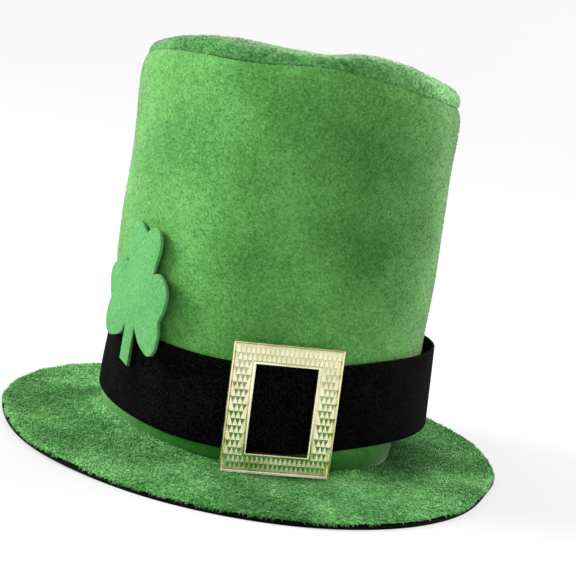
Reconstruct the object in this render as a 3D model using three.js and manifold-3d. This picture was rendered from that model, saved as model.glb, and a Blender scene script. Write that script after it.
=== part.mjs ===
// A plush leprechaun hat: hollow crown, puffed top panel, two-layer brim, loose felt band,
// studded frame buckle and a flat felt shamrock. Millimetres, +Z up, the front faces -Y,
// the origin is on the floor under the middle of the brim.
import * as THREE from 'three';
import { mergeVertices } from 'three/addons/utils/BufferGeometryUtils.js';
import Module from 'manifold-3d';

const wasm = await Module();
wasm.setup();

// General
const clearance = 0.3; // between pieces that touch on the real hat
const facetsAround = 72;

// Crown
const crownHalfWidth = 92.8;
const crownHalfDepth = 95.5;
const crownWall = 2.5;
const crownSetBack = 7; // the crown's middle lies this far behind the brim's
const crownLean = -1.8; // how far the crown's top leans towards +X
const seamHeight = 211.5; // floor to the mean height of the upper seam
const seamWave = 3.5; // how far the seam wanders up and down
const seamTuck = 3; // how far the cloth turns in at the seam
const tuckHeight = 10; // over which height it turns in
const rollHeight = 10; // puffed top panel, seam to its highest point
const rollWave = 3; // how far the roll wanders up and down
const panelSink = 3; // how far the middle of the top panel lies below its roll
const panelRollIn = 0.9; // girth inside which the panel's underside follows its top

// Brim
const brimHalfWidth = 145;
const brimHalfDepth = 152;
const underThickness = 1.5;
const plushThickness = 2;
const creaseRise = 4; // most that the plush swells up against the crown
const rimLift = 3.5; // most that the rim curls up from the floor
const flatShare = 0.45; // part of the brim's width that always lies flat
const edgeOverhang = 0.5; // felt that shows past the plush at the rim
const brimShares = [0, flatShare, 0.65, 0.85]; // rows across the brim, from the head hole out

// Band
const bandHeight = 47;
const bandThickness = 1.8;
const bandLoose = 11; // most that the loop stands off the crown

// Buckle
const buckleWidth = 58.2;
const buckleHeight = 69.2;
const sideRail = 12.8;
const topRail = 11.3;
const bottomRail = 10.7;
const buckleThickness = 2.2;
const rimRaise = 0.9;
const outerRim = 1.5;
const innerRim = 2;
const studWidth = 2.8;
const studHeight = 4.2;
const studRaise = 0.8;
const studSink = 0.2; // how deep a stud starts inside the plate
const studFill = 0.94; // part of its cell that a stud covers
const studReach = 0.4; // how far a stud may run into a rim
const buckleTurn = -2; // degrees, the buckle's right side is the higher one
const buckleShift = -0.6; // the buckle sits this far right of the middle

// Shamrock
const shamrockHalfWidth = 28.6;
const shamrockHeight = 78;
const shamrockThickness = 3;
const shamrockFoot = 42; // floor to the tip of the stem
const shamrockFacing = -63.5; // degrees round from the front
const shamrockShift = 10.3; // its middle lies this far right of where it touches the band
const shamrockTurn = 2.5; // degrees, its right side is the lower one
const stemWidth = 8.5;
const stemShift = -1.6; // the stem hangs left of the shamrock's middle
const stemTopShare = 0.29; // of the shamrock's height
const stemSlant = 2.2; // its foot is cut at a slant

// Up the crown's wall: height as a share of the seam's height, girth of the widest section.
const crownProfile = [
  { height: 0.0, girth: 0.978 },
  { height: 0.1, girth: 0.984 },
  { height: 0.26, girth: 0.993 },
  { height: 0.42, girth: 1.0 },
  { height: 0.56, girth: 0.999 },
  { height: 0.7, girth: 0.991 },
  { height: 0.84, girth: 0.987 },
  { height: 0.93, girth: 0.998 },
];

// Over the puffed panel, from the seam to its middle: girth and rise of the roll.
const panelProfile = [
  { girth: 0.966, rise: 0.0 },
  { girth: 0.973, rise: 0.22 },
  { girth: 0.957, rise: 0.5 },
  { girth: 0.922, rise: 0.76 },
  { girth: 0.865, rise: 0.93 },
  { girth: 0.78, rise: 1.0 },
  { girth: 0.6, rise: 0.95 },
  { girth: 0.3, rise: 0.78 },
];

// Round the hat every 30 degrees from the front towards +X, as shares of the wave, rise, lift
// or looseness that each one follows. foot is the band's lower edge in band heights.
const roundTheHat = [
  { azimuth: 0, seam: 0.97, roll: 0.15, crease: 0.02, lift: 0, foot: 0.31, looseTop: 0, looseFoot: 0 },
  { azimuth: 30, seam: -0.03, roll: 1.6, crease: 0.04, lift: 0, foot: 0.435, looseTop: 0.1, looseFoot: 0.2 },
  { azimuth: 60, seam: -1, roll: -0.25, crease: 0.08, lift: 0.1, foot: 0.49, looseTop: 0.36, looseFoot: 0.6 },
  { azimuth: 90, seam: -1, roll: -0.8, crease: 0.2, lift: 0.65, foot: 0.49, looseTop: 0.52, looseFoot: 0.92 },
  { azimuth: 120, seam: -0.4, roll: -0.4, crease: 0.3, lift: 0.6, foot: 0.47, looseTop: 0.5, looseFoot: 0.8 },
  { azimuth: 150, seam: 0.2, roll: 0, crease: 0.4, lift: 0.3, foot: 0.425, looseTop: 0.25, looseFoot: 0.3 },
  { azimuth: 180, seam: 0.1, roll: 0.3, crease: 0.4, lift: 0, foot: 0.385, looseTop: 0.1, looseFoot: 0.1 },
  { azimuth: 210, seam: -0.2, roll: 0.3, crease: 0.3, lift: 0.2, foot: 0.385, looseTop: 0, looseFoot: 0 },
  { azimuth: 240, seam: -0.2, roll: 0, crease: 0.4, lift: 0.6, foot: 0.415, looseTop: 0, looseFoot: 0 },
  { azimuth: 270, seam: -0.4, roll: -0.75, crease: 0.8, lift: 1, foot: 0.415, looseTop: 0, looseFoot: 0 },
  { azimuth: 300, seam: 0.45, roll: 0, crease: 1, lift: 0.5, foot: 0.34, looseTop: 0, looseFoot: 0 },
  { azimuth: 330, seam: 0.25, roll: 0.95, crease: 0.14, lift: 0, foot: 0.28, looseTop: 0, looseFoot: 0 },
];

// The brim's hand-cut outline every 20 degrees from the front towards +X: reach of its oval.
const brimOutline = [
  { azimuth: 0, reach: 1.024 },
  { azimuth: 20, reach: 1.018 },
  { azimuth: 40, reach: 1.0 },
  { azimuth: 60, reach: 0.974 },
  { azimuth: 80, reach: 0.98 },
  { azimuth: 100, reach: 0.992 },
  { azimuth: 120, reach: 0.995 },
  { azimuth: 140, reach: 1.003 },
  { azimuth: 160, reach: 1.014 },
  { azimuth: 180, reach: 1.018 },
  { azimuth: 200, reach: 1.008 },
  { azimuth: 220, reach: 0.994 },
  { azimuth: 240, reach: 1.003 },
  { azimuth: 260, reach: 1.006 },
  { azimuth: 280, reach: 1.01 },
  { azimuth: 300, reach: 1.022 },
  { azimuth: 320, reach: 1.012 },
  { azimuth: 340, reach: 1.018 },
];
const brimCorner = { azimuth: 72, spread: 7, reach: 0.018 }; // a blunt corner at the right end

// Soft dents and swells of the crown's wall: place, spread and depth in crown walls.
const crownDents = [
  { azimuth: 84, height: 0.86, spread: 26, tall: 0.07, depth: 0.45 },
  { azimuth: 62, height: 0.9, spread: 7, tall: 0.1, depth: 0.5 },
  { azimuth: 40, height: 0.55, spread: 16, tall: 0.4, depth: 0.5 },
  { azimuth: 4, height: 0.93, spread: 22, tall: 0.1, depth: -0.4 },
  { azimuth: -88, height: 0.72, spread: 24, tall: 0.08, depth: 0.3 },
  { azimuth: -70, height: 0.95, spread: 20, tall: 0.06, depth: -0.35 },
  { azimuth: -35, height: 0.45, spread: 15, tall: 0.35, depth: -0.3 },
  { azimuth: -95, height: 0.26, spread: 32, tall: 0.1, depth: 1.5 },
];

// One half of the shamrock from its top notch down to the stem, as shares of its half width
// and height. Each lobe is one smooth curve between two sharp notches.
const shamrockLobes = [
  [
    { across: 0.0, up: 0.937 },
    { across: 0.13, up: 0.978 },
    { across: 0.29, up: 1.0 },
    { across: 0.47, up: 0.965 },
    { across: 0.54, up: 0.87 },
    { across: 0.48, up: 0.76 },
    { across: 0.45, up: 0.69 },
  ],
  [
    { across: 0.45, up: 0.69 },
    { across: 0.62, up: 0.71 },
    { across: 0.83, up: 0.68 },
    { across: 0.99, up: 0.6 },
    { across: 0.97, up: 0.5 },
    { across: 0.86, up: 0.4 },
  ],
  [
    { across: 0.86, up: 0.4 },
    { across: 0.92, up: 0.31 },
    { across: 0.89, up: 0.2 },
    { across: 0.73, up: 0.145 },
    { across: 0.52, up: 0.16 },
    { across: 0.32, up: 0.2 },
  ],
];

const degrees = Math.PI / 180;

// A smooth value from a table whose rows go evenly round the hat.
function around(table, column, azimuth) {
  const count = table.length;
  const place = ((((azimuth % 360) + 360) % 360) / 360) * count;
  const row = Math.floor(place);
  const part = place - row;
  const value = (offset) => table[(row + offset + count) % count][column];
  const [before, start, end, after] = [value(-1), value(0), value(1), value(2)];
  const slopes = [(end - before) / 2, (after - start) / 2];
  const rise = part * part * (3 - 2 * part);
  const leave = part * (1 - part) * (1 - part);
  const arrive = part * part * (part - 1);
  return start + (end - start) * rise + slopes[0] * leave + slopes[1] * arrive;
}

// A bell-shaped weight round the hat or up the wall.
function bell(distance, spread) {
  return Math.exp(-((distance / spread) ** 2));
}

function turnBetween(first, second) {
  return ((((first - second + 180) % 360) + 360) % 360) - 180;
}

function azimuthOf(step) {
  return (360 * step) / facetsAround;
}

// How far the leaning crown has moved sideways at a height.
function leanAt(height) {
  return (crownLean * height) / seamHeight;
}

// One ring of points round the hat. sizeAt gives half width, half depth and height.
function ring(sizeAt, centreY = crownSetBack, lean = leanAt) {
  const points = [];
  for (let step = 0; step < facetsAround; step += 1) {
    const azimuth = azimuthOf(step);
    const [halfWidth, halfDepth, height] = sizeAt(azimuth);
    const x = lean(height) + halfWidth * Math.sin(azimuth * degrees);
    const y = centreY - halfDepth * Math.cos(azimuth * degrees);
    points.push(new THREE.Vector3(x, y, height));
  }
  return points;
}

// A closed body through rings: rings that end in poles, or rings that close on themselves.
function bodyFromRings(rings, poles = []) {
  const vertices = rings.flat();
  const index = [];
  const count = facetsAround;
  const pairs = poles.length ? rings.length - 1 : rings.length;
  for (let row = 0; row < pairs; row += 1) {
    const low = row * count;
    const high = ((row + 1) % rings.length) * count;
    for (let step = 0; step < count; step += 1) {
      const next = (step + 1) % count;
      index.push(low + step, low + next, high + next);
      index.push(low + step, high + next, high + step);
    }
  }
  if (poles.length) {
    const first = vertices.length;
    const last = (rings.length - 1) * count;
    vertices.push(...poles);
    for (let step = 0; step < count; step += 1) {
      const next = (step + 1) % count;
      index.push(first, next, step);
      index.push(first + 1, last + step, last + next);
    }
  }
  const geometry = new THREE.BufferGeometry().setFromPoints(vertices);
  geometry.setIndex(index);
  return geometry;
}

// How far the dents push the crown's wall in, at an azimuth and a share of its height.
function dentAt(azimuth, height) {
  let depth = 0;
  for (const dent of crownDents) {
    const aside = bell(turnBetween(azimuth, dent.azimuth), dent.spread);
    depth += dent.depth * crownWall * aside * bell(height - dent.height, dent.tall);
  }
  return depth;
}

function seamAt(azimuth) {
  return seamHeight + seamWave * around(roundTheHat, 'seam', azimuth);
}

function creaseAt(azimuth) {
  const swell = creaseRise * around(roundTheHat, 'crease', azimuth);
  return underThickness + clearance + plushThickness + swell;
}

// The crown's wall section at a share of its height, grown or shrunk by an offset.
function crownSection(azimuth, height, girth, offset) {
  const inward = dentAt(azimuth, height) - offset;
  const foot = creaseAt(azimuth) + clearance;
  const level = foot + (seamAt(azimuth) - foot) * height;
  return [crownHalfWidth * girth - inward, crownHalfDepth * girth - inward, level];
}

function crownSide() {
  const rows = [...crownProfile];
  const widest = crownProfile[crownProfile.length - 1].girth;
  const tucked = widest - seamTuck / crownHalfWidth;
  const tuckShare = tuckHeight / seamHeight;
  rows.push({ height: 1 - tuckShare / 3, girth: widest - (widest - tucked) / 3 });
  rows.push({ height: 1, girth: tucked });
  const outside = rows.map((row) => ring((azimuth) => crownSection(azimuth, row.height, row.girth, 0)));
  const insideRows = rows.filter((row, place) => place % 2 === 0 || row.height === 1);
  const inside = insideRows.map((row) =>
    ring((azimuth) => crownSection(azimuth, row.height, row.girth, -crownWall)),
  );
  return bodyFromRings([...outside, ...inside.reverse()]);
}

function crownTop() {
  const levelAt = (azimuth, rise, drop) => {
    const wave = rollWave * around(roundTheHat, 'roll', azimuth) * rise;
    return seamAt(azimuth) * (1 - rise) + seamHeight * rise + clearance + rollHeight * rise + wave - drop;
  };
  const section = (row, inset, drop) => (azimuth) => [
    crownHalfWidth * row.girth - inset,
    crownHalfDepth * row.girth - inset,
    levelAt(azimuth, row.rise, drop),
  ];
  const sunk = seamHeight + clearance + rollHeight - panelSink;
  const outside = panelProfile.map((row) => ring(section(row, 0, 0)));
  const inside = panelProfile
    .filter((row) => row.rise === 0 || row.girth < panelRollIn)
    .map((row) => ring(section(row, crownWall, row.rise * crownWall)));
  const poles = [
    new THREE.Vector3(leanAt(sunk), crownSetBack, sunk - crownWall),
    new THREE.Vector3(leanAt(sunk), crownSetBack, sunk),
  ];
  return bodyFromRings([...inside.reverse(), ...outside], poles);
}

// Where a share of the brim's width lies, from the head hole to the rim.
function brimSection(azimuth, share, inset, level) {
  const corner = brimCorner.reach * bell(turnBetween(azimuth, brimCorner.azimuth), brimCorner.spread);
  const reach = around(brimOutline, 'reach', azimuth) + corner;
  const lifted = Math.max(0, (share - flatShare) / (1 - flatShare));
  const lift = rimLift * Math.max(0, around(roundTheHat, 'lift', azimuth)) * lifted ** 2;
  const girth = crownProfile[0].girth;
  const hole = [crownHalfWidth * girth - crownWall, crownHalfDepth * girth - crownWall];
  const rim = [brimHalfWidth * reach - inset, brimHalfDepth * reach - inset];
  const centre = crownSetBack * (1 - share);
  return { size: hole.map((size, axis) => size + (rim[axis] - size) * share), centre, level: level + lift };
}

function brimRing(share, inset, levelAt) {
  const centre = brimSection(0, share, 0, 0).centre;
  return ring((azimuth) => {
    const section = brimSection(azimuth, share, inset, levelAt(azimuth));
    return [...section.size, section.level];
  }, centre, () => 0);
}

function brimUnder() {
  const shares = [...brimShares, 1];
  const under = shares.map((share) => brimRing(share, 0, () => 0));
  const over = shares.map((share) => brimRing(share, 0, () => underThickness));
  return bodyFromRings([...under, ...over.reverse()]);
}

function brimTop() {
  const seat = underThickness + clearance;
  const wallShare = crownWall / (brimHalfWidth - crownHalfWidth);
  const shares = [...brimShares, 0.98];
  const under = shares.map((share) => brimRing(share, edgeOverhang, () => seat));
  const plushLevel = seat + plushThickness;
  const swellRows = [
    { share: 1, swell: 0, pile: 0.4 },
    { share: 0.975, swell: 0, pile: 0.9 },
    { share: 0.85, swell: 0, pile: 1.1 },
    { share: 0.6, swell: 0.05, pile: 1 },
    { share: 0.35, swell: 0.3, pile: 1 },
    { share: 0.2, swell: 0.75, pile: 1 },
    { share: wallShare * 1.1, swell: 1, pile: 1 },
    { share: 0, swell: 1, pile: 1 },
  ];
  const over = swellRows.map((row) => {
    const level = (azimuth) => {
      const swell = row.swell * (creaseAt(azimuth) - plushLevel);
      return seat + plushThickness * row.pile + swell;
    };
    return brimRing(row.share, edgeOverhang, level);
  });
  return bodyFromRings([...under, ...over]);
}

// How far the crown's wall reaches at a height in millimetres, straight between its rows.
function wallAt(azimuth, level) {
  const foot = creaseAt(azimuth) + clearance;
  const height = (level - foot) / (seamAt(azimuth) - foot);
  const last = crownProfile.length - 2;
  const above = crownProfile.findIndex((row) => row.height > height);
  const row = Math.min(Math.max(above - 1, 0), last);
  const [low, high] = [crownProfile[row], crownProfile[row + 1]];
  const part = (height - low.height) / (high.height - low.height);
  const between = (first, second) => first + (second - first) * part;
  const dent = between(dentAt(azimuth, low.height), dentAt(azimuth, high.height));
  return { girth: between(low.girth, high.girth), dent };
}

// The band's inner face lies on the crown's wall, or stands off it where the band is loose.
function bandSection(azimuth, share, offset) {
  const looseTop = Math.max(0, around(roundTheHat, 'looseTop', azimuth));
  const looseFoot = Math.max(0, around(roundTheHat, 'looseFoot', azimuth));
  const loose = bandLoose * (looseFoot + (looseTop - looseFoot) * share);
  const level = bandHeight * (around(roundTheHat, 'foot', azimuth) + share);
  const wall = wallAt(azimuth, level);
  const grow = clearance + loose + offset - wall.dent;
  return [crownHalfWidth * wall.girth + grow, crownHalfDepth * wall.girth + grow, level];
}

function hatBand() {
  const shares = [0, 0.25, 0.5, 0.75, 1];
  const outside = shares.map((share) => ring((azimuth) => bandSection(azimuth, share, bandThickness)));
  const inside = shares.map((share) => ring((azimuth) => bandSection(azimuth, share, 0)));
  return bodyFromRings([...outside, ...inside.reverse()]);
}

function solidFrom(geometry) {
  const bare = geometry.clone();
  bare.deleteAttribute('normal');
  bare.deleteAttribute('uv');
  const merged = mergeVertices(bare, 1e-4);
  const vertProperties = new Float32Array(merged.attributes.position.array);
  const triVerts = new Uint32Array(merged.index.array);
  return new wasm.Manifold(new wasm.Mesh({ numProp: 3, vertProperties, triVerts }));
}

function geometryFrom(solid) {
  const mesh = solid.getMesh();
  const geometry = new THREE.BufferGeometry();
  geometry.setAttribute('position', new THREE.BufferAttribute(mesh.vertProperties, 3));
  geometry.setIndex(new THREE.BufferAttribute(mesh.triVerts, 1));
  return geometry;
}

// An upright rectangular frame in the XZ plane, its front towards -Y.
function rectangleFrame(width, height, hole, lift, depth) {
  const shape = new THREE.Shape();
  shape.moveTo(-width / 2, 0);
  shape.lineTo(width / 2, 0);
  shape.lineTo(width / 2, height);
  shape.lineTo(-width / 2, height);
  shape.closePath();
  const window = new THREE.Path();
  window.moveTo(-hole.halfWidth, hole.bottom);
  window.lineTo(-hole.halfWidth, hole.top);
  window.lineTo(hole.halfWidth, hole.top);
  window.lineTo(hole.halfWidth, hole.bottom);
  window.closePath();
  shape.holes.push(window);
  const geometry = new THREE.ExtrudeGeometry(shape, { depth, bevelEnabled: false });
  geometry.translate(0, 0, -depth);
  geometry.rotateX(Math.PI / 2);
  geometry.translate(0, -depth, lift);
  return geometry;
}

// Stud centres in the flat field between the buckle's two raised rims.
function studPlaces() {
  const fieldWidth = buckleWidth - 2 * outerRim;
  const fieldHeight = buckleHeight - 2 * outerRim;
  const columns = Math.floor(fieldWidth / studWidth);
  const rows = Math.floor(fieldHeight / studHeight);
  const holeHalf = buckleWidth / 2 - sideRail + innerRim;
  const places = [];
  for (let column = 0; column < columns; column += 1) {
    for (let row = 0; row < rows; row += 1) {
      const x = (column - (columns - 1) / 2) * (fieldWidth / columns);
      const z = outerRim + (row + 0.5) * (fieldHeight / rows);
      const besideHole = Math.abs(x) > holeHalf + studWidth / 2 - studReach;
      const belowHole = z < bottomRail - innerRim - studHeight / 2 + studReach;
      const aboveHole = z > buckleHeight - topRail + innerRim + studHeight / 2 - studReach;
      if (besideHole || belowHole || aboveHole) {
        places.push({ x, z });
      }
    }
  }
  return places;
}

function buckle() {
  const hole = {
    halfWidth: buckleWidth / 2 - sideRail,
    bottom: bottomRail,
    top: buckleHeight - topRail,
  };
  const insideOuterRim = {
    halfWidth: buckleWidth / 2 - outerRim,
    bottom: outerRim,
    top: buckleHeight - outerRim,
  };
  const plate = solidFrom(rectangleFrame(buckleWidth, buckleHeight, hole, 0, buckleThickness));
  const rimDepth = buckleThickness + rimRaise;
  const outer = solidFrom(rectangleFrame(buckleWidth, buckleHeight, insideOuterRim, 0, rimDepth));
  const innerWidth = buckleWidth - 2 * sideRail + 2 * innerRim;
  const innerHeight = buckleHeight - topRail - bottomRail + 2 * innerRim;
  const innerHole = {
    halfWidth: hole.halfWidth,
    bottom: innerRim,
    top: innerHeight - innerRim,
  };
  const innerFoot = bottomRail - innerRim;
  const inner = solidFrom(rectangleFrame(innerWidth, innerHeight, innerHole, innerFoot, rimDepth));
  let solid = plate.add(outer).add(inner);
  const studDepth = studRaise + studSink;
  for (const place of studPlaces()) {
    const stud = new THREE.ConeGeometry(Math.SQRT1_2, studDepth, 4, 1);
    stud.rotateY(Math.PI / 4);
    stud.rotateX(Math.PI / 2);
    stud.scale(studWidth * studFill, 1, studHeight * studFill);
    stud.translate(place.x, studSink - buckleThickness - studDepth / 2, place.z);
    solid = solid.add(solidFrom(stud));
  }
  return geometryFrom(solid);
}

function shamrockShape() {
  const place = (row, side) =>
    new THREE.Vector2(side * row.across * shamrockHalfWidth, row.up * shamrockHeight);
  const stemTop = (side) =>
    new THREE.Vector2(stemShift + (side * stemWidth) / 2, stemTopShare * shamrockHeight);
  const right = shamrockLobes.map((lobe) => lobe.map((row) => place(row, 1)));
  const left = shamrockLobes.map((lobe) => lobe.map((row) => place(row, -1)).reverse()).reverse();
  right[right.length - 1].push(stemTop(1));
  left[0].unshift(stemTop(-1));
  const shape = new THREE.Shape();
  shape.moveTo(right[0][0].x, right[0][0].y);
  for (const lobe of right) {
    shape.splineThru(lobe.slice(1));
  }
  shape.lineTo(stemShift + stemWidth / 2, 0);
  shape.lineTo(stemShift - stemWidth / 2, stemSlant);
  for (const lobe of left) {
    shape.lineTo(lobe[0].x, lobe[0].y);
    shape.splineThru(lobe.slice(1));
  }
  return shape;
}

// The shamrock stands upright in the XZ plane, its back on y = 0 and its front towards -Y.
function shamrock() {
  const geometry = new THREE.ExtrudeGeometry(shamrockShape(), {
    depth: shamrockThickness,
    bevelEnabled: false,
    curveSegments: 3,
  });
  geometry.rotateX(Math.PI / 2);
  geometry.translate(0, 0, -shamrockHeight / 2);
  geometry.rotateY(shamrockTurn * degrees);
  geometry.translate(0, 0, shamrockHeight / 2);
  return geometry;
}

// How far the band's outer face reaches from the crown's middle along a facing direction.
function bandReach(facing) {
  const outward = new THREE.Vector3(Math.sin(facing * degrees), -Math.cos(facing * degrees), 0);
  const middle = new THREE.Vector3(0, crownSetBack, 0);
  const rings = [0, 1].map((share) => ring((azimuth) => bandSection(azimuth, share, bandThickness)));
  return Math.max(...rings.flat().map((point) => point.sub(middle).dot(outward)));
}

// The brim's highest crease within the buckle's width.
function brimUnderBuckle() {
  const widthAzimuth = Math.asin(buckleWidth / 2 / crownHalfWidth) / degrees;
  const heights = [];
  for (let share = -1; share <= 1; share += 0.1) {
    heights.push(creaseAt(share * widthAzimuth));
  }
  return Math.max(...heights);
}

function part(name, geometry, colour, roughness, metalness = 0) {
  const material = new THREE.MeshStandardMaterial({ color: colour, roughness, metalness });
  const mesh = new THREE.Mesh(geometry, material);
  mesh.name = name;
  return mesh;
}

const plush = 0x4f9a4c;
const hat = new THREE.Group();
hat.add(part('brim_under', brimUnder(), 0x141414, 0.95));
hat.add(part('brim_top', brimTop(), plush, 0.9));
hat.add(part('crown_side', crownSide(), plush, 0.9));
hat.add(part('crown_top', crownTop(), plush, 0.9));
hat.add(part('hat_band', hatBand(), 0x141414, 0.95));

const buckleMesh = part('buckle', buckle(), 0xd9cf9a, 0.3, 0.8);
const buckleDrop = (buckleWidth / 2) * Math.sin(Math.abs(buckleTurn) * degrees);
const buckleLift = brimUnderBuckle() + clearance + buckleDrop;
buckleMesh.rotation.y = buckleTurn * degrees;
buckleMesh.position.set(buckleShift, crownSetBack - bandReach(0) - clearance, buckleLift);
hat.add(buckleMesh);

const shamrockMesh = part('shamrock', shamrock(), 0x6ec27a, 0.85);
const shamrockOut = bandReach(shamrockFacing) + clearance;
const facing = shamrockFacing * degrees;
shamrockMesh.rotation.z = facing;
shamrockMesh.position.set(
  shamrockOut * Math.sin(facing) + shamrockShift * Math.cos(facing),
  crownSetBack - shamrockOut * Math.cos(facing) + shamrockShift * Math.sin(facing),
  shamrockFoot,
);
hat.add(shamrockMesh);

export default hat;
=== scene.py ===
# Leprechaun hat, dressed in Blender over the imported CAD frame. Metres, +Z up, front towards -Y.
import math

import bmesh
import bpy
import numpy as np
from mathutils import Matrix, Vector
from mathutils.bvhtree import BVHTree


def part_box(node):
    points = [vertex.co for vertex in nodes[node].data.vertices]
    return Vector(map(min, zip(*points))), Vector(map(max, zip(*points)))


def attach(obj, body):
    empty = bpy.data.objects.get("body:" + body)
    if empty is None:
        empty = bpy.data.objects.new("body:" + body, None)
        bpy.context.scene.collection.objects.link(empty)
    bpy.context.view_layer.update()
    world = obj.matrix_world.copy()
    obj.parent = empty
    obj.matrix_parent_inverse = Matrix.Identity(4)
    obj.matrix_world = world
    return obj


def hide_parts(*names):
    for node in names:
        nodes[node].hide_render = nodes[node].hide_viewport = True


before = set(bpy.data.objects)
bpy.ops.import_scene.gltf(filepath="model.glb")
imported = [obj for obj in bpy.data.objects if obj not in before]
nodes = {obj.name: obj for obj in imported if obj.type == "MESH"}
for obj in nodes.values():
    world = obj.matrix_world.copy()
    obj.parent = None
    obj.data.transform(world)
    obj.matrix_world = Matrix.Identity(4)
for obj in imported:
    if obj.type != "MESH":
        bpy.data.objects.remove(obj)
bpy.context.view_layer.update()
scene = bpy.context.scene
MM = 0.001


# Camera, in millimetres of the hat's own frame

CAMERA_PLACE = (-121.3, -711.8, 196.0)
CAMERA_TARGET = (9.46, 11.42, 87.74)
CAMERA_ROLL = 9.42
CAMERA_LENS = 78.16


def place_camera():
    place = Vector(CAMERA_PLACE) * MM
    target = Vector(CAMERA_TARGET) * MM
    roll = math.radians(CAMERA_ROLL)
    forward = (target - place).normalized()
    level = forward.cross(Vector((0, 0, 1))).normalized()
    upright = level.cross(forward)
    right = level * math.cos(roll) + upright * math.sin(roll)
    up = upright * math.cos(roll) - level * math.sin(roll)
    turn = Matrix((right, up, -forward)).transposed()
    data = bpy.data.cameras.new("camera")
    data.lens = CAMERA_LENS
    data.sensor_width = 36
    data.clip_end = 100
    camera = bpy.data.objects.new("camera", data)
    camera.matrix_world = Matrix.Translation(place) @ turn.to_4x4()
    scene.collection.objects.link(camera)
    scene.camera = camera


place_camera()


# Smooth noise for relief in the meshes

# Large whole numbers that scatter the place of a cell's corner and the seed.
PLACE_SCATTER = np.array((73856093, 19349663, 83492791))
SEED_SCATTER, KEY_SCATTER = 2654435761, 1274126177


def lumps(points, size, seed):
    """Smooth noise from about -1 to 1 at each point, with lumps of about that size in metres. Each corner of
    a cell has its own value, the last 16 bits of its scattered place."""
    cell = points / size
    base = np.floor(cell).astype(np.int64)
    blend = cell - base
    blend = blend * blend * (3 - 2 * blend)
    total = np.zeros(len(points))
    for corner in np.ndindex(2, 2, 2):
        spot = (base + np.array(corner)) * PLACE_SCATTER
        key = spot[:, 0] ^ spot[:, 1] ^ spot[:, 2] ^ seed * SEED_SCATTER
        key = (key ^ (key >> 13)) * KEY_SCATTER
        value = ((key ^ (key >> 16)) & 0xFFFF) / 32767.5 - 1
        share = np.where(np.array(corner) == 1, blend, 1 - blend)
        total += value * share.prod(axis=1)
    return total


# Smooth quad copies of the CAD solids

JOIN_WITHIN = 0.02 * MM
PAIR_TURN = 50  # triangles that meet at no more degrees than that may be joined in a pair


def quad_copy(node_name):
    """A bmesh of the CAD node's surface with its corners joined and its triangles back in pairs."""
    work = bmesh.new()
    work.from_mesh(nodes[node_name].data)
    bmesh.ops.remove_doubles(work, verts=work.verts, dist=JOIN_WITHIN)
    bmesh.ops.join_triangles(
        work,
        faces=work.faces,
        angle_face_threshold=math.radians(PAIR_TURN),
        angle_shape_threshold=math.pi,
    )
    return work


def sharpen(work, angle, hardness):
    """Keeps the edges that turn by more than angle degrees crisp when the surface is smoothed."""
    layer = work.edges.layers.float.get("crease_edge") or work.edges.layers.float.new("crease_edge")
    for edge in work.edges:
        if len(edge.link_faces) == 2 and edge.calc_face_angle() > math.radians(angle):
            edge[layer] = hardness


def piece_from(work, piece_name, levels):
    """Makes an object of the bmesh, smoothed by subdivision, with the result applied to its mesh."""
    mesh = bpy.data.meshes.new(piece_name)
    work.to_mesh(mesh)
    work.free()
    piece = bpy.data.objects.new(piece_name, mesh)
    scene.collection.objects.link(piece)
    if levels:
        smoother = piece.modifiers.new("smooth", "SUBSURF")
        smoother.levels = levels
        smoother.render_levels = levels
        settled = piece.evaluated_get(bpy.context.evaluated_depsgraph_get())
        piece.data = bpy.data.meshes.new_from_object(settled)
        piece.data.name = piece_name
        piece.modifiers.clear()
        bpy.data.meshes.remove(mesh)
    piece.data.shade_smooth()
    return piece


def points_of(mesh):
    flat = np.empty(len(mesh.vertices) * 3)
    mesh.vertices.foreach_get("co", flat)
    return flat.reshape(-1, 3)


def normals_of(mesh):
    flat = np.empty(len(mesh.vertices) * 3, dtype=np.float32)
    mesh.vertex_normals.foreach_get("vector", flat)
    return flat.reshape(-1, 3).astype(float)


def put_points(mesh, points):
    mesh.vertices.foreach_set("co", points.reshape(-1))
    mesh.update()


# Materials

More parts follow.
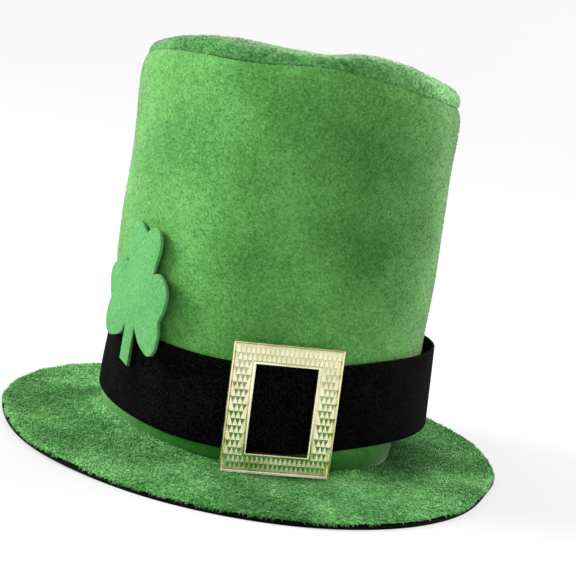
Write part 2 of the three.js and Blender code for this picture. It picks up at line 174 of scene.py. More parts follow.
class Graph:
    """Short calls for building one material's nodes."""

    def __init__(self, name):
        self.material = bpy.data.materials.new(name)
        self.material.use_nodes = True
        self.tree = self.material.node_tree
        self.shader = self.tree.nodes["Principled BSDF"]
        place = self.tree.nodes.new("ShaderNodeTexCoord")
        self.place = place.outputs["Object"]

    def link(self, source, target):
        self.tree.links.new(source, target)

    def noise(self, size, detail=2, rough=0.5, distortion=0):
        """Noise from 0 to 1 with a grain of that size in metres."""
        node = self.tree.nodes.new("ShaderNodeTexNoise")
        node.inputs["Scale"].default_value = 1 / size
        node.inputs["Detail"].default_value = detail
        node.inputs["Roughness"].default_value = rough
        node.inputs["Distortion"].default_value = distortion
        self.link(self.place, node.inputs["Vector"])
        return node.outputs["Fac"]

    def math(self, kind, first, second=None, third=None):
        node = self.tree.nodes.new("ShaderNodeMath")
        node.operation = kind
        for socket, value in zip(node.inputs, (first, second, third)):
            if value is None:
                continue
            if isinstance(value, (int, float)):
                socket.default_value = value
            else:
                self.link(value, socket)
        return node.outputs[0]

    def spread(self, value, low, high, to_low=0, to_high=1, kind="LINEAR"):
        """The value between low and high, mapped to the second range and held inside it."""
        node = self.tree.nodes.new("ShaderNodeMapRange")
        node.interpolation_type = kind
        numbers = {"From Min": low, "From Max": high, "To Min": to_low, "To Max": to_high}
        for name, number in numbers.items():
            node.inputs[name].default_value = number
        self.link(value, node.inputs["Value"])
        return node.outputs["Result"]

    def axis(self, name):
        node = self.tree.nodes.new("ShaderNodeSeparateXYZ")
        self.link(self.place, node.inputs[0])
        return node.outputs[name]

    def distance(self, spot):
        """How far each point of the object lies from a spot."""
        node = self.tree.nodes.new("ShaderNodeVectorMath")
        node.operation = "DISTANCE"
        node.inputs[1].default_value = spot
        self.link(self.place, node.inputs[0])
        return node.outputs["Value"]

    def ramp(self, value, stops):
        """Colours along a value, as (place, linear colour) pairs."""
        node = self.tree.nodes.new("ShaderNodeValToRGB")
        line = node.color_ramp.elements
        while len(line) < len(stops):
            line.new(0.5)
        for element, (spot, colour) in zip(line, stops):
            element.position = spot
            element.color = (*colour, 1)
        self.link(value, node.inputs["Fac"])
        return node.outputs["Color"]

    def mix(self, share, first, second, kind="MIX"):
        node = self.tree.nodes.new("ShaderNodeMix")
        node.data_type = "RGBA"
        node.blend_type = kind
        sockets = (node.inputs[0], node.inputs[6], node.inputs[7])
        for socket, value in zip(sockets, (share, first, second)):
            if isinstance(value, (int, float)):
                socket.default_value = value
            elif isinstance(value, tuple):
                socket.default_value = (*value, 1)
            else:
                self.link(value, socket)
        return node.outputs[2]

    def bump(self, height, depth, normal=None):
        """A bumped normal, where a height of 1 stands that many metres out."""
        node = self.tree.nodes.new("ShaderNodeBump")
        node.inputs["Distance"].default_value = depth
        self.link(height, node.inputs["Height"])
        if normal is not None:
            self.link(normal, node.inputs["Normal"])
        return node.outputs["Normal"]

    def finish(self, colour, normal=None, **settings):
        """Joins colour and normal to the shader, and sets its own sockets."""
        self.link(colour, self.shader.inputs["Base Color"])
        if normal is not None:
            self.link(normal, self.shader.inputs["Normal"])
        for name, value in settings.items():
            socket = self.shader.inputs[name.replace("_", " ").title().replace("Ior", "IOR")]
            if isinstance(value, (int, float, tuple)):
                socket.default_value = value
            else:
                self.link(value, socket)
        return self.material


def linear(red, green, blue):
    """A linear colour from sRGB numbers of 0 to 255."""
    return tuple(
        v / 12.92 if v <= 0.04045 else ((v + 0.055) / 1.055) ** 2.4
        for v in (red / 255, green / 255, blue / 255)
    )


# How much of the plush's tone each grain makes, and where its three colours lie along that tone.
PLUSH_TIPS, PLUSH_TUFTS, PLUSH_PATCHES = 0.55, 0.15, 0.3
PLUSH_STOPS = (0.39, 0.5, 0.62)
PATCH_SIZE = 36 * MM
PAINTED_SPOT_CORE = 0.25  # the share of a painted spot's reach within which it is at full strength
PAINTED_SPOT_PURER = 1.5  # the power by which red and blue follow a painted spot more than green does
FOOT_SHADE_SHARES = (0.3, 0.7, 0.22)  # shares of the dark red, green and blue kept at the crown's foot, as painted shade below the band


def plush(name, colours, grain, clump, depth, sheen, painted_light_and_nap, foot=None):
    """Short-pile plush: tips and gaps, and patches where the pile lies another way. The spots passed in are
    painted light and shade, partly also where the pile lies another way, and foot is a (low, high) pair of
    heights below which the colour is painted darker and duller, as painted shade below the band. Darker
    painted spots are a purer green, and lighter ones paler."""
    g = Graph(name)
    tips = g.noise(grain, detail=3, rough=0.62, distortion=0.9)
    tufts = g.noise(clump, detail=2, rough=0.5, distortion=0.6)
    patches = g.noise(PATCH_SIZE, detail=2, rough=0.45)
    tone = g.math("MULTIPLY_ADD", tips, PLUSH_TIPS, g.math("MULTIPLY", tufts, PLUSH_TUFTS))
    tone = g.math("MULTIPLY_ADD", patches, PLUSH_PATCHES, tone)
    colour = g.ramp(tone, list(zip(PLUSH_STOPS, colours)))
    # Spots of painted light and shade, partly also where the pile lies another way.
    for painted_spot in painted_light_and_nap:
        away = g.distance([side * MM for side in painted_spot["at"]])
        reach = painted_spot["reach"] * MM
        share = g.spread(away, reach * PAINTED_SPOT_CORE, reach, 1, 0, kind="SMOOTHSTEP")
        pale = painted_spot["tone"] ** PAINTED_SPOT_PURER
        colour = g.mix(share, colour, (pale, painted_spot["tone"], pale), kind="MULTIPLY")
    # Painted shade at the foot of the crown: darker and duller below the low height, fading out by the high
    # one.
    if foot:
        painted_foot_shade = tuple(channel * share for channel, share in zip(colours[0], FOOT_SHADE_SHARES))
        colour = g.mix(g.spread(g.axis("Z"), *foot, kind="SMOOTHSTEP"), painted_foot_shade, colour)
    normal = g.bump(tufts, depth * 2)
    normal = g.bump(tips, depth, normal)
    return g.finish(
        colour,
        normal,
        roughness=0.92,
        sheen_weight=sheen,
        sheen_roughness=0.42,
        sheen_tint=(0.9, 1.0, 0.75, 1),
        specular_ior_level=0.12,
    )


FELT_FIBRES, FELT_CLOUD = 0.88, 0.12
CLOUD_GRAINS = 14  # how many grains of fibre wide a cloud is


def felt(name, colours, grain, depth, sheen, tint, stops=(0.3, 0.72)):
    """Pressed felt: a fine fibrous grain on a nearly even colour."""
    g = Graph(name)
    fibres = g.noise(grain, detail=4, rough=0.7, distortion=0.6)
    cloud = g.noise(grain * CLOUD_GRAINS, detail=2, rough=0.5)
    tone = g.math("MULTIPLY_ADD", fibres, FELT_FIBRES, g.math("MULTIPLY", cloud, FELT_CLOUD))
    colour = g.ramp(tone, list(zip(stops, colours)))
    normal = g.bump(fibres, depth)
    return g.finish(
        colour,
        normal,
        roughness=0.95,
        sheen_weight=sheen,
        sheen_roughness=0.5,
        sheen_tint=tint,
        specular_ior_level=0.02,
    )


GOLD_COLOURS = (linear(226, 221, 176), linear(246, 242, 212))
GOLD_STOPS = (0.3, 0.7)
GOLD_ROUGHNESS = (0.2, 0.34)
GOLD_CLOUD, GOLD_PIT, GOLD_PIT_DEPTH = 9 * MM, 0.5 * MM, 0.03 * MM


def gold(name):
    """Thinly metallised plastic, pale gold, with faint clouds and fine pits."""
    g = Graph(name)
    cloud = g.noise(GOLD_CLOUD, detail=3, rough=0.6)
    pits = g.noise(GOLD_PIT, detail=3, rough=0.6)
    return g.finish(
        g.ramp(cloud, list(zip(GOLD_STOPS, GOLD_COLOURS))),
        g.bump(pits, GOLD_PIT_DEPTH),
        metallic=1.0,
        roughness=g.spread(cloud, *GOLD_STOPS, *GOLD_ROUGHNESS),
    )


# Spots of painted light and shade on the plush, partly also where the pile lies another way: place and reach
# in millimetres, and how light it looks.
CROWN_PAINTED_LIGHT_AND_NAP = (
    {"at": (-5, -89, 88), "reach": 60, "tone": 1.15},
    {"at": (-22, -84, 190), "reach": 45, "tone": 1.1},
    {"at": (88, -30, 170), "reach": 48, "tone": 0.88},
    {"at": (46, -77, 140), "reach": 72, "tone": 0.78},
    {"at": (-62, -62, 170), "reach": 46, "tone": 1.1},
)
PANEL_PAINTED_LIGHT_AND_NAP = (
    # The first spot, at the panel's right, is a painted sheen.
    {"at": (68, -45, 220), "reach": 62, "tone": 1.9},
    {"at": (-60, -45, 218), "reach": 50, "tone": 0.85},
    {"at": (0, -85, 215), "reach": 50, "tone": 1.1},
)
BRIM_PAINTED_LIGHT_AND_NAP = (
    {"at": (-8, -140, 5), "reach": 46, "tone": 0.5},
    # The next two spots, right of the crown, are painted shadow of the loose band, partly where the pile
    # lies another way.
    {"at": (85, -20, 5), "reach": 48, "tone": 0.36},
    {"at": (68, -50, 5), "reach": 36, "tone": 0.4},
    {"at": (-115, 5, 5), "reach": 45, "tone": 0.7},
    {"at": (-95, -76, 5), "reach": 36, "tone": 0.74},
    {"at": (-108, 68, 5), "reach": 46, "tone": 1.12},
    {"at": (118, -55, 5), "reach": 30, "tone": 1.3},
    {"at": (88, -115, 5), "reach": 34, "tone": 1.3},
)
crown_plush = plush(
    "crown_plush",
    colours=(linear(54, 110, 46), linear(73, 133, 61), linear(96, 158, 82)),
    grain=1.3 * MM,
    clump=5 * MM,
    depth=0.1 * MM,
    sheen=0.3,
    painted_light_and_nap=CROWN_PAINTED_LIGHT_AND_NAP,
    # painted shade at the crown's foot, below the band
    foot=(7 * MM, 22 * MM),
)
panel_plush = plush(
    "panel_plush",
    colours=(linear(42, 92, 42), linear(66, 124, 62), linear(94, 156, 88)),
    grain=1.5 * MM,
    clump=5 * MM,
    depth=0.24 * MM,
    sheen=0.3,
    painted_light_and_nap=PANEL_PAINTED_LIGHT_AND_NAP,
)
brim_plush = plush(
    "brim_plush",
    colours=(linear(36, 92, 34), linear(77, 146, 72), linear(134, 194, 122)),
    grain=1.4 * MM,
    clump=5 * MM,
    depth=0.3 * MM,
    sheen=0.15,
    painted_light_and_nap=BRIM_PAINTED_LIGHT_AND_NAP,
)
band_felt = felt(
    "band_felt",
    colours=(linear(0, 0, 0), linear(27, 28, 28)),
    grain=1.0 * MM,
    depth=0.25 * MM,
    sheen=0.002,
    tint=(0.8, 0.8, 0.8, 1),
    stops=(0.46, 0.74),
)
under_felt = felt(
    "under_felt",
    colours=(linear(3, 3, 3), linear(14, 15, 14)),
    grain=0.6 * MM,
    depth=0.15 * MM,
    sheen=0.03,
    tint=(0.8, 0.8, 0.8, 1),
)
green_felt = felt(
    "green_felt",
    colours=(linear(46, 108, 52), linear(98, 160, 98)),
    grain=1.3 * MM,
    depth=0.3 * MM,
    sheen=0.16,
    tint=(0.7, 1.0, 0.7, 1),
)
gold_plastic = gold("gold_plastic")


# Pieces

def dress(piece, material, node_name):
    """Gives a piece its finish, and lets it stand for its CAD node on the hat's one body."""
    piece.data.materials.clear()
    piece.data.materials.append(material)
    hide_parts(node_name)
    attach(piece, "root")


CROWN_MIDDLE = 7 * MM  # the crown's middle lies that far behind the hat's


def relief(piece, rows):
    """Moves every point along its normal by lumps of noise, whose rows are in millimetres."""
    points = points_of(piece.data)
    lift = sum(row["height"] * MM * lumps(points, row["size"] * MM, row["seed"]) for row in rows)
    put_points(piece.data, points + normals_of(piece.data) * lift[:, None])


# How unevenly a seam is drawn together: a share of the pull, and the size of a pucker in millimetres.
PUCKERS = {"depth": 0.35, "size": 8, "seed": 41}


def draw_to(piece, other, reach, pull, sink=0.0):
    """Draws the points of a piece that lie within reach of another piece's surface towards it."""
    faces = [list(face.vertices) for face in other.data.polygons]
    target = BVHTree.FromPolygons(points_of(other.data), faces)
    points = points_of(piece.data)
    puckers = 1 + PUCKERS["depth"] * lumps(points, PUCKERS["size"] * MM, PUCKERS["seed"])
    for place, point in enumerate(points):
        spot, normal, face, distance = target.find_nearest(Vector(point), reach)
        if spot is None:
            continue
        weight = 1 - distance / reach
        weight = min(1, pull * puckers[place] * weight * weight * (3 - 2 * weight))
        points[place] = Vector(point).lerp(spot - normal * sink, weight)
    put_points(piece.data, points)


# Shares of a tuft's stated size that the shortest and longest, and the narrowest and widest, have.
TUFT_LENGTHS = (0.6, 1.2)
TUFT_WIDTHS = (0.7, 1.3)
TUFT_LEAN = 0.5  # usual lean sideways, as a share of the tuft's height
TUFT_ROOT = 0.1 * MM  # how deep a tuft starts in the cloth


def pile(name, base, count, length, width, sag, soft, seed, kept):
    """Tufts of pile all over a surface: small closed three-sided spikes, leaning every way and a little
    down. soft is the share of the shading that follows the cloth, where the rest follows the tuft."""
    chance = np.random.default_rng(seed)
    mesh = base.data
    mesh.calc_loop_triangles()
    corners = np.array([triangle.vertices for triangle in mesh.loop_triangles])
    corners = points_of(mesh)[corners]
    across = np.cross(corners[:, 1] - corners[:, 0], corners[:, 2] - corners[:, 0])
    area = np.linalg.norm(across, axis=1)
    facing = across / area[:, None]
    area = np.where(kept(corners.mean(axis=1), facing), area, 0)
    chosen = chance.choice(len(area), count, p=area / area.sum())
    shares = chance.dirichlet((1, 1, 1), count)
    roots = (corners[chosen] * shares[:, :, None]).sum(axis=1)
    out = facing[chosen]
    side = np.cross(out, chance.normal(size=(count, 3)))
    side /= np.linalg.norm(side, axis=1)[:, None]
    other = np.cross(out, side)
    height = length * chance.uniform(*TUFT_LENGTHS, count)[:, None]
    lean = TUFT_LEAN * chance.normal(size=(count, 1)) * side
    tips = roots + height * (out + lean - np.array((0, 0, sag)))
    radius = width / 2 * chance.uniform(*TUFT_WIDTHS, count)[:, None]
    feet = [
        roots - TUFT_ROOT * out + radius * (math.cos(turn) * side + math.sin(turn) * other)
        for turn in (0, math.tau / 3, 2 * math.tau / 3)
    ]
    points = np.stack((*feet, tips), axis=1).reshape(-1, 3)
    tuft = np.array(((0, 2, 1), (0, 1, 3), (1, 2, 3), (2, 0, 3)))
    faces = (np.arange(count)[:, None, None] * 4 + tuft).reshape(-1, 3)
    grown = bpy.data.meshes.new(name)
    grown.from_pydata(points.tolist(), [], faces.tolist())
    grown.shade_smooth()
    own = normals_of(grown) * (1 - soft) + np.repeat(out, 4, axis=0) * soft
    own /= np.linalg.norm(own, axis=1)[:, None]
    grown.normals_split_custom_set_from_vertices(own.tolist())
    piece = bpy.data.objects.new(name, grown)
    scene.collection.objects.link(piece)
    return piece


RIM_RADIUS = 125 * MM
BAND_HIDES = (24 * MM, 56 * MM)  # between these heights the crown needs no pile
# How far up a face points, from -1 for straight down to 1 for straight up, at the edge of each area of pile.
BRIM_EDGE, RIM_EDGE, PANEL_EDGE = -0.3, 0.75, 0.3


def outward(spots, facing):
    """Whether the surface faces away from the crown's middle."""
    return (facing[:, :2] * (spots[:, :2] - (0, CROWN_MIDDLE))).sum(axis=1) > 0


def on_brim(spots, facing):
    """The brim's upper face and rim."""
    return facing[:, 2] > BRIM_EDGE


def on_rim(spots, facing):
    """The brim's outer edge."""
    outer = np.linalg.norm(spots[:, :2], axis=1) > RIM_RADIUS
    return outer & (np.abs(facing[:, 2]) < RIM_EDGE)


def on_crown(spots, facing):
    """The outside of the crown's wall, apart from what the band hides."""
    low, high = BAND_HIDES
    return outward(spots, facing) & ((spots[:, 2] < low) | (spots[:, 2] > high))


def on_panel(spots, facing):
    """The top panel's upper and outer sides."""
    return (facing[:, 2] > PANEL_EDGE) | outward(spots, facing)


# How far the real roll rises past the solid one, or falls short of it, in millimetres, at azimuths in
# degrees round from the front.
ROLL_CREST = (
    {"azimuth": -60, "spread": 15, "rise": 1.4},
    {"azimuth": -26, "spread": 14, "rise": -1.9},
    {"azimuth": 6, "spread": 13, "rise": 1.8},
    {"azimuth": 37, "spread": 14, "rise": -1.2},
)
ROLL_FOOT, ROLL_FADE = 212 * MM, 9 * MM  # the height where that starts, and how much higher it is full


def shape_roll(piece):
    """Lifts and lowers the puffed panel's roll, most at its top and not at all at the seam."""
    points = points_of(piece.data)
    azimuth = np.degrees(np.arctan2(points[:, 0], CROWN_MIDDLE - points[:, 1]))
    share = np.clip((points[:, 2] - ROLL_FOOT) / ROLL_FADE, 0, 1)
    for row in ROLL_CREST:
        near = np.exp(-(((azimuth - row["azimuth"]) / row["spread"]) ** 2))
        points[:, 2] += row["rise"] * MM * share * near
    put_points(piece.data, points)


# Where the crown's foot and the brim round it are drawn in, below the loose part of the band, in degrees
# round from the front and in millimetres. It fades out between the low height and the high one, and
# between the wall's distance from the crown's middle and the one past it.
TUCK = {"azimuth": 84, "spread": 24, "depth": 14, "low": 14, "high": 36, "wall": 92, "past": 116}


def fade_out(value, start, end):
    """1 below the start, 0 above the end, both in millimetres, and a smooth fall between."""
    share = np.clip((value - start * MM) / ((end - start) * MM), 0, 1)
    return 1 - share * share * (3 - 2 * share)


def tuck_foot(piece):
    """Draws the foot in towards the middle of the crown, by less and less away from its place."""
    points = points_of(piece.data)
    away = points[:, :2] - (0, CROWN_MIDDLE)
    azimuth = np.degrees(np.arctan2(away[:, 0], -away[:, 1]))
    radius = np.linalg.norm(away, axis=1)
    share = np.exp(-(((azimuth - TUCK["azimuth"]) / TUCK["spread"]) ** 2))
    share = share * fade_out(points[:, 2], TUCK["low"], TUCK["high"])
    share = share * fade_out(radius, TUCK["wall"], TUCK["past"])
    points[:, :2] -= away / radius[:, None] * (TUCK["depth"] * MM * share)[:, None]
    put_points(piece.data, points)


SMOOTH_LEVELS = 2
SEAM_REACH = 7 * MM
FOOT_REACH = 9 * MM
CROWN_RELIEF = (
    {"size": 26, "height": 0.5, "seed": 3},
    {"size": 7, "height": 0.15, "seed": 5},
    {"size": 2.4, "height": 0.08, "seed": 8},
)
PANEL_RELIEF = (
    {"size": 17, "height": 0.8, "seed": 13},
    {"size": 7, "height": 0.35, "seed": 15},
    {"size": 2.4, "height": 0.1, "seed": 18},
)
BRIM_RELIEF = (
    {"size": 18, "height": 0.4, "seed": 23},
    {"size": 6, "height": 0.25, "seed": 25},
    {"size": 2.6, "height": 0.15, "seed": 28},
)
CROWN_TUFTS = {"count": 48000, "length": 0.5 * MM, "width": 1.0 * MM, "sag": 0.2, "soft": 0.95, "seed": 3}
PANEL_TUFTS = {"count": 20000, "length": 0.8 * MM, "width": 1.1 * MM, "sag": 0.2, "soft": 0.75, "seed": 5}
BRIM_TUFTS = {"count": 44000, "length": 1.4 * MM, "width": 1.1 * MM, "sag": 0.25, "soft": 0.1, "seed": 7}
RIM_TUFTS = {"count": 3200, "length": 1.4 * MM, "width": 1.0 * MM, "sag": 0.5, "soft": 0.1, "seed": 9}
SHARP_TURN = 50  # edges that turn by more degrees than that stay crisp

crown = piece_from(quad_copy("crown_side"), "crown", SMOOTH_LEVELS)
top_panel = piece_from(quad_copy("crown_top"), "top_panel", SMOOTH_LEVELS)
brim = piece_from(quad_copy("brim_top"), "brim_plush", SMOOTH_LEVELS)
shape_roll(top_panel)
tuck_foot(crown)
tuck_foot(brim)
draw_to(top_panel, crown, SEAM_REACH, pull=0.6, sink=0.3 * MM)
draw_to(crown, top_panel, SEAM_REACH, pull=0.75, sink=0.1 * MM)
draw_to(brim, crown, FOOT_REACH, pull=1.0, sink=0.5 * MM)

relief(crown, CROWN_RELIEF)
dress(crown, crown_plush, "crown_side")
crown_pile = pile("crown_pile", crown, kept=on_crown, **CROWN_TUFTS)
dress(crown_pile, crown_plush, "crown_side")
relief(top_panel, PANEL_RELIEF)
dress(top_panel, panel_plush, "crown_top")
panel_pile = pile("panel_pile", top_panel, kept=on_panel, **PANEL_TUFTS)
dress(panel_pile, panel_plush, "crown_top")
relief(brim, BRIM_RELIEF)
dress(brim, brim_plush, "brim_top")
brim_pile = pile("brim_pile", brim, kept=on_brim, **BRIM_TUFTS)
dress(brim_pile, brim_plush, "brim_top")
rim_pile = pile("rim_pile", brim, kept=on_rim, **RIM_TUFTS)
dress(rim_pile, brim_plush, "brim_top")

work = quad_copy("brim_under")
sharpen(work, SHARP_TURN, hardness=0.7)
brim_felt = piece_from(work, "brim_felt", SMOOTH_LEVELS)
tuck_foot(brim_felt)
dress(brim_felt, under_felt, "brim_under")

work = quad_copy("hat_band")
sharpen(work, SHARP_TURN, hardness=0.8)
band = piece_from(work, "band", SMOOTH_LEVELS)
dress(band, band_felt, "hat_band")


# Buckle: one closed frame with two rounded rims, and a field of small pointed studs between them

# Sizes of the frame and its rails in millimetres, and its turn in degrees.
BUCKLE = {"width": 58.2, "height": 69.2, "side": 12.8, "top": 11.3, "bottom": 10.7, "turn": -2}
BUCKLE_SHIFT = -0.6
BUCKLE_SINK = 0.6  # the real one presses that far into the brim's pile
BUCKLE_CREASE = 32  # faces that meet at more degrees than that have a crisp edge between them
# The field is rows of small flat triangles that point up and lean back, with sloping notches between them.
STUD = {"pitch": 2.5, "row": 3.91, "raise": 1.05, "lean": 0.2, "fill": 0.96}
# Share of the rail from its outer edge, and height off the back in millimetres.
BUCKLE_PROFILE = (
    (0.0, 0.0), (0.0, 2.6), (0.004, 2.85), (0.014, 3.02), (0.026, 3.06), (0.04, 2.96), (0.07, 2.5),
    (0.1, 2.0), (0.122, 1.6), (0.838, 1.6), (0.844, 2.3), (0.862, 2.7), (0.9, 2.98), (0.93, 3.04),
    (0.965, 2.94), (0.992, 2.6), (1.0, 2.3), (1.0, 0.0),
)
FIELD_START, FIELD_END = BUCKLE_PROFILE[8][0], BUCKLE_PROFILE[9][0]
FIELD_LEVEL = BUCKLE_PROFILE[8][1]
FIELD_SLACK = 0.4  # how far a stud may run into a rim
BOTTOM_OVERLAP = 0.42  # how far the lowest row of studs runs into the bottom rim
# The bottom rail's outer rim is that many times as broad as the others, and its crest lies further out.
BOTTOM_RIM = 1.6
CREST, BOTTOM_CREST = BUCKLE_PROFILE[4][0], 0.012


def bottom_height(share):
    """How high a share of the bottom rail lies, with that rail's outer rim broadened."""
    usual = (0, CREST, FIELD_START, FIELD_END, 1)
    broad = (0, BOTTOM_CREST, FIELD_START * BOTTOM_RIM, FIELD_END, 1)
    return BUCKLE["bottom"] * np.interp(share, usual, broad)


def top_height(share):
    return BUCKLE["height"] - share * BUCKLE["top"]


def buckle_corners(share):
    """The corners of the rectangle that lies at that share of the rails."""
    across = BUCKLE["width"] / 2 - share * BUCKLE["side"]
    foot, head = bottom_height(share), top_height(share)
    return (-across, foot), (across, foot), (across, head), (-across, head)


def in_field(x, z):
    """Whether a point of the buckle's face lies in the field between its two rims."""
    half = BUCKLE["width"] / 2
    within_sides = abs(x) < half - FIELD_START * BUCKLE["side"] + FIELD_SLACK
    within_rails = bottom_height(FIELD_START) - FIELD_SLACK < z < top_height(FIELD_START)
    past_sides = abs(x) < half - FIELD_END * BUCKLE["side"] - FIELD_SLACK
    past_rails = bottom_height(FIELD_END) + FIELD_SLACK < z < top_height(FIELD_END) - FIELD_SLACK
    return within_sides and within_rails and not (past_sides and past_rails)


def solid_between(work, lower, upper):
    """A closed body between two loops of (x, out, z) points, whose upper loop may share its corners."""
    low = [work.verts.new((x * MM, -out * MM, z * MM)) for x, out, z in lower]
    high = [
        below if (x, out, z) == point else work.verts.new((x * MM, -out * MM, z * MM))
        for below, point, (x, out, z) in zip(low, lower, upper)
    ]
    work.faces.new(low)
    work.faces.new(high)
    for place in range(len(low)):
        after = (place + 1) % len(low)
        side = [low[place], low[after], high[after], high[place]]
        corners = [corner for spot, corner in enumerate(side) if corner not in side[:spot]]
        if len(corners) > 2:
            work.faces.new(corners)


def add_studs(work):
    """Rows of raised triangles, every second row half a pitch along, with a sloping notch after each."""
    half = BUCKLE["width"] / 2 - FIELD_START * BUCKLE["side"]
    foot, head = bottom_height(FIELD_START), top_height(FIELD_START)
    rows = round((head - foot) / STUD["row"])
    columns = round(2 * half / STUD["pitch"])
    pitch, tall = 2 * half / columns, (head - foot) / rows
    proud = FIELD_LEVEL + STUD["raise"]
    tip = proud - STUD["lean"]
    for row in range(rows):
        low = foot + row * tall + tall * (1 - STUD["fill"]) / 2 - BOTTOM_OVERLAP
        high = low + tall * STUD["fill"]
        for column in range(-1, columns + 1):
            left = -half + (column + 0.5 * (row % 2)) * pitch
            flat = [(left, low), (left + pitch, low), (left + pitch / 2, high)]
            if all(in_field(x, z) for x, z in flat):
                base = [(x, FIELD_LEVEL, z) for x, z in flat]
                raised = [(x, tip if z == high else proud, z) for x, out, z in base]
                solid_between(work, base, raised)
            notch = [(left + pitch / 2, high), (left + 1.5 * pitch, high), (left + pitch, low)]
            if all(in_field(x, z) for x, z in notch):
                base = [(x, FIELD_LEVEL, z) for x, z in notch]
                lifted = [(x, proud if z == high else FIELD_LEVEL, z) for x, out, z in base]
                solid_between(work, base, lifted)


def buckle_piece():
    """The frame, one loop of four corners for each point of its profile, with its studs."""
    work = bmesh.new()
    loops = [
        [work.verts.new((x * MM, -out * MM, z * MM)) for x, z in buckle_corners(share)]
        for share, out in BUCKLE_PROFILE
    ]
    for first, second in zip(loops, loops[1:] + loops[:1]):
        for side in range(4):
            after = (side + 1) % 4
            work.faces.new((first[side], first[after], second[after], second[side]))
    add_studs(work)
    bmesh.ops.recalc_face_normals(work, faces=work.faces)
    piece = piece_from(work, "buckle_frame", 0)
    low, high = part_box("buckle")
    turn = math.radians(BUCKLE["turn"])
    lift = low[2] + BUCKLE["width"] / 2 * MM * math.sin(abs(turn))
    place = (BUCKLE_SHIFT * MM, high[1], lift - BUCKLE_SINK * MM)
    piece.data.transform(Matrix.Translation(place) @ Matrix.Rotation(turn, 4, "Y"))
    piece.data.set_sharp_from_angle(angle=math.radians(BUCKLE_CREASE))
    return piece


dress(buckle_piece(), gold_plastic, "buckle")


# Shamrock of felt, which is pressed thinner on the plush and spreads

# thin and spread are shares of the solid's thickness and breadth, and the others are millimetres.
CLOVER = {"thin": 0.6, "spread": 1.08, "sink": 0.6, "bevel": 0.45, "swell": 0.12}
FLAT_TURN = 2  # faces that meet at fewer degrees than that become one


def press_clover(piece):
    """Thins, sinks and spreads the shamrock along its own flat directions."""
    points = points_of(piece.data)
    middle = points.mean(axis=0)
    across = np.linalg.svd(points - middle, full_matrices=False)[2]
    out = across[2] * np.sign(-across[2][1])
    side = np.cross(out, (0, 0, 1))
    side /= np.linalg.norm(side)
    depth = (points - middle) @ out
    breadth = (points - middle) @ side
    moved = (CLOVER["thin"] - 1) * (depth - depth.max()) - CLOVER["sink"] * MM
    points += moved[:, None] * out + ((CLOVER["spread"] - 1) * breadth)[:, None] * side
    put_points(piece.data, points)


work = bmesh.new()
work.from_mesh(nodes["shamrock"].data)
bmesh.ops.remove_doubles(work, verts=work.verts, dist=JOIN_WITHIN)
bmesh.ops.dissolve_limit(
    work, angle_limit=math.radians(FLAT_TURN), verts=work.verts, edges=work.edges
)
broad = sorted(work.faces, key=lambda face: face.calc_area())[-2:]
bmesh.ops.inset_individual(
    work, faces=broad, thickness=CLOVER["bevel"] * MM, depth=CLOVER["swell"] * MM
)
clover = piece_from(work, "clover", 0)
press_clover(clover)
dress(clover, green_felt, "shamrock")


# Floor, backdrop and light

# Radius and height of the floor's rings in metres, and the number of steps round each.
FLOOR_RINGS = ((0.5, 0), (2, 0), (4, 0), (4.6, 0.12), (5, 0.5), (5.15, 1.2), (5.2, 2.1))
FLOOR_STEPS = 48
FLOOR_GREYS = (0.24, 0.26)
FLOOR_CLOUD = 0.6
# The floor glows evenly near the hat, and more from the near distance to the far one, both in metres.
GLOW_NEAR, GLOW_FAR = 0.4, 2.5
FLOOR_GLOW, FLOOR_GLOW_FAR = 0.5, 0.71
LIT_SPOT = (0, 0, 0.12)  # where the lamps point
SKY = 0.97
SKY_DIM = 0.05
SKY_DIM_TOWARDS = (0.05, -0.97, 0.22)
SKY_DIM_EDGES = (0.7, 0.95)  # cosines of the angles where the dimming starts and is full


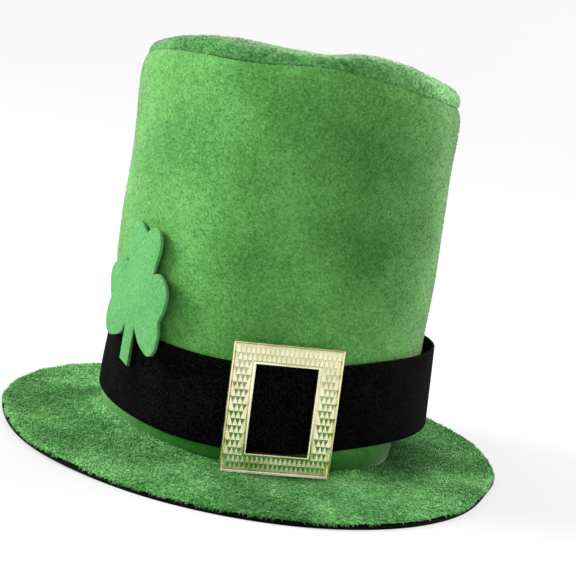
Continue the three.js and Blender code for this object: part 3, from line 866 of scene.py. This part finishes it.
def backdrop():
    """A pale floor that rises into a low round wall far behind the hat."""
    work = bmesh.new()
    turns = [math.tau * step / FLOOR_STEPS for step in range(FLOOR_STEPS)]
    rings = [
        [work.verts.new((radius * math.cos(turn), radius * math.sin(turn), height)) for turn in turns]
        for radius, height in FLOOR_RINGS
    ]
    work.faces.new(rings[0])
    for inner, outer in zip(rings, rings[1:]):
        for step in range(FLOOR_STEPS):
            after = (step + 1) % FLOOR_STEPS
            work.faces.new((inner[step], outer[step], outer[after], inner[after]))
    floor = piece_from(work, "floor", SMOOTH_LEVELS)
    g = Graph("floor_paper")
    cloud = g.noise(FLOOR_CLOUD, detail=1)
    squares = [g.math("MULTIPLY", g.axis(name), g.axis(name)) for name in ("X", "Y")]
    away = g.math("SQRT", g.math("ADD", *squares))
    paper = g.finish(
        g.ramp(cloud, [(place, (grey, grey, grey)) for place, grey in enumerate(FLOOR_GREYS)]),
        roughness=0.9,
        emission_color=(1.0, 1.0, 1.0, 1),
        emission_strength=g.spread(away, GLOW_NEAR, GLOW_FAR, FLOOR_GLOW, FLOOR_GLOW_FAR),
    )
    floor.data.materials.append(paper)


def light(name, place, size, power):
    """A round lamp of that size in metres and power in watts, turned to the hat."""
    data = bpy.data.lights.new(name, "AREA")
    data.shape = "DISK"
    data.size = size
    data.energy = power
    lamp = bpy.data.objects.new(name, data)
    lamp.location = place
    lamp.rotation_euler = (Vector(LIT_SPOT) - Vector(place)).to_track_quat("-Z", "Y").to_euler()
    scene.collection.objects.link(lamp)


def studio_sky():
    """White all round, and dimmer low in front, where no lamp stands."""
    world = bpy.data.worlds.new("studio")
    scene.world = world
    world.use_nodes = True
    tree = world.node_tree
    place = tree.nodes.new("ShaderNodeTexCoord")
    facing = tree.nodes.new("ShaderNodeVectorMath")
    facing.operation = "DOT_PRODUCT"
    facing.inputs[1].default_value = Vector(SKY_DIM_TOWARDS).normalized()
    tree.links.new(place.outputs["Generated"], facing.inputs[0])
    dim = tree.nodes.new("ShaderNodeMapRange")
    dim.interpolation_type = "SMOOTHSTEP"
    start, full = SKY_DIM_EDGES
    numbers = {"From Min": start, "From Max": full, "To Min": SKY, "To Max": SKY_DIM}
    for name, number in numbers.items():
        dim.inputs[name].default_value = number
    tree.links.new(facing.outputs["Value"], dim.inputs["Value"])
    background = tree.nodes["Background"]
    tree.links.new(dim.outputs["Result"], background.inputs["Strength"])
    background.inputs["Color"].default_value = (1, 1, 1, 1)


backdrop()
light("key", place=(-1.7, 0.35, 0.9), size=0.9, power=63)
light("fill", place=(1.3, 0.5, 0.9), size=0.8, power=24)
light("front", place=(-0.5, -1.7, 0.6), size=1.2, power=5.5)
studio_sky()
scene.view_settings.view_transform = "Standard"
scene.view_settings.look = "None"
